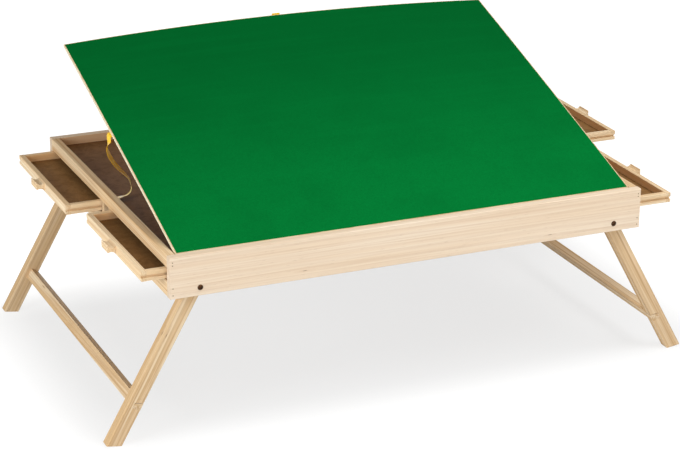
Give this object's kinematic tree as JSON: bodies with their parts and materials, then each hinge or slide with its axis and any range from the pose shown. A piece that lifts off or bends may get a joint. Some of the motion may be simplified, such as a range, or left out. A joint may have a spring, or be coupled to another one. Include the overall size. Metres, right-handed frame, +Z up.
{
  "type": "folding jigsaw puzzle table",
  "caption": "Low pine table for jigsaw puzzles with a tilting felt-covered lid over a storage tray, shallow side drawers and splayed folding leg frames",
  "frame": {"origin": "on the floor under the middle of the whole outline at rest, with the drawers as they stand out; the case's own middle is 29.9 mm to the left of it", "axes": "+X to the right along the front apron, +Y to the back, +Z up"},
  "size_m": [1.1182, 0.6498, 0.5118],
  "materials": {
    "apron_pine": "planed pine with fine long grain, unvarnished",
    "rail_pine": "planed pine, unvarnished",
    "leg_pine": "planed pine, unvarnished",
    "drawer_pine": "planed pine, unvarnished",
    "inner_pine": "sawn pine, unvarnished",
    "tray_hardboard": "smooth brown hardboard",
    "drawer_hardboard": "smooth brown hardboard",
    "lid_plywood": "pale plywood with sanded edges",
    "green_felt": "short dense green pile",
    "yellow_ribbon": "satin ribbon",
    "hinge_brass": "plated sheet",
    "prop_steel": "bright drawn rod",
    "bronzed_screw": "dark bronzed",
    "nail_steel": "dull heads set flush"
  },
  "bodies": {
    "case": {"case_nails": "nail_steel", "front_apron": "apron_pine", "front_apron_runner": "inner_pine", "front_bay_stop": "inner_pine", "front_divider": "inner_pine", "front_divider_runner": "inner_pine", "hinge_apron_leaves": "hinge_brass", "hinge_apron_screws": "hinge_brass", "hinge_pins": "hinge_brass", "left_bottom_rail": "rail_pine", "left_leg_stop": "inner_pine", "left_prop_track": "inner_pine", "left_top_rail": "rail_pine", "leg_pivot_nuts": "bronzed_screw", "leg_pivot_screws": "bronzed_screw", "rear_apron": "apron_pine", "rear_apron_runner": "inner_pine", "rear_bay_stop": "inner_pine", "rear_divider": "inner_pine", "rear_divider_runner": "inner_pine", "right_bottom_rail": "rail_pine", "right_leg_stop": "inner_pine", "right_prop_track": "inner_pine", "right_top_rail": "rail_pine", "tray_floor": "tray_hardboard"},
    "lid": {"lid_board": "lid_plywood", "lid_felt": "green_felt", "left_lid_batten": "inner_pine", "right_lid_batten": "inner_pine", "hinge_lid_leaves": "hinge_brass", "hinge_lid_screws": "hinge_brass", "lid_pull_tab": "yellow_ribbon", "prop_pins": "prop_steel", "check_ribbon": "yellow_ribbon"},
    "prop": {"left_prop_arm": "inner_pine", "right_prop_arm": "inner_pine", "prop_crossbar": "inner_pine", "prop_foot_rod": "prop_steel"},
    "legs_left": {"left_front_leg": "leg_pine", "left_rear_leg": "leg_pine", "left_stretcher": "leg_pine"},
    "legs_right": {"right_front_leg": "leg_pine", "right_rear_leg": "leg_pine", "right_stretcher": "leg_pine"},
    "drawer_left_front": {"left_front_drawer_front": "drawer_pine", "left_front_drawer_frame": "drawer_pine", "left_front_drawer_floor": "drawer_hardboard", "left_front_drawer_pull": "drawer_pine"},
    "drawer_left_rear": {"left_rear_drawer_front": "drawer_pine", "left_rear_drawer_frame": "drawer_pine", "left_rear_drawer_floor": "drawer_hardboard", "left_rear_drawer_pull": "drawer_pine"},
    "drawer_right_front": {"right_front_drawer_front": "drawer_pine", "right_front_drawer_frame": "drawer_pine", "right_front_drawer_floor": "drawer_hardboard", "right_front_drawer_pull": "drawer_pine"},
    "drawer_right_rear": {"right_rear_drawer_front": "drawer_pine", "right_rear_drawer_frame": "drawer_pine", "right_rear_drawer_floor": "drawer_hardboard", "right_rear_drawer_pull": "drawer_pine"}
  },
  "joints": [
    {"name": "lid_tilt", "type": "hinge", "parent": "case", "child": "lid", "pos_m": [-0.02988, -0.3059, 0.3071], "axis": [1, 0, 0], "range_deg": [-18.7, 5.8], "deforming": ["check_ribbon"]},
    {"name": "prop_fold", "type": "hinge", "parent": "lid", "child": "prop", "pos_m": [-0.02988, -0.02454, 0.3997], "axis": [1, 0, 0], "range_deg": [-11.61, 37.41]},
    {"name": "legs_left_fold", "type": "hinge", "parent": "case", "child": "legs_left", "pos_m": [-0.40238, 0, 0.2585], "axis": [0, -1, 0], "range_deg": [0, 119.3]},
    {"name": "legs_right_fold", "type": "hinge", "parent": "case", "child": "legs_right", "pos_m": [0.34262, 0, 0.2585], "axis": [0, 1, 0], "range_deg": [0, 119.3]},
    {"name": "left_front_drawer_slide", "type": "slide", "parent": "case", "child": "drawer_left_front", "axis": [-1, 0, 0], "range_m": [-0.0415, 0.2585]},
    {"name": "left_rear_drawer_slide", "type": "slide", "parent": "case", "child": "drawer_left_rear", "axis": [-1, 0, 0], "range_m": [-0.062, 0.238]},
    {"name": "right_front_drawer_slide", "type": "slide", "parent": "case", "child": "drawer_right_front", "axis": [1, 0, 0], "range_m": [-0.0695, 0.2305]},
    {"name": "right_rear_drawer_slide", "type": "slide", "parent": "case", "child": "drawer_right_rear", "axis": [1, 0, 0], "range_m": [-0.152, 0.148]}
  ],
  "couplings": [
    {"joint": "prop_fold", "follows": "lid_tilt", "ratio": -2}
  ]
}
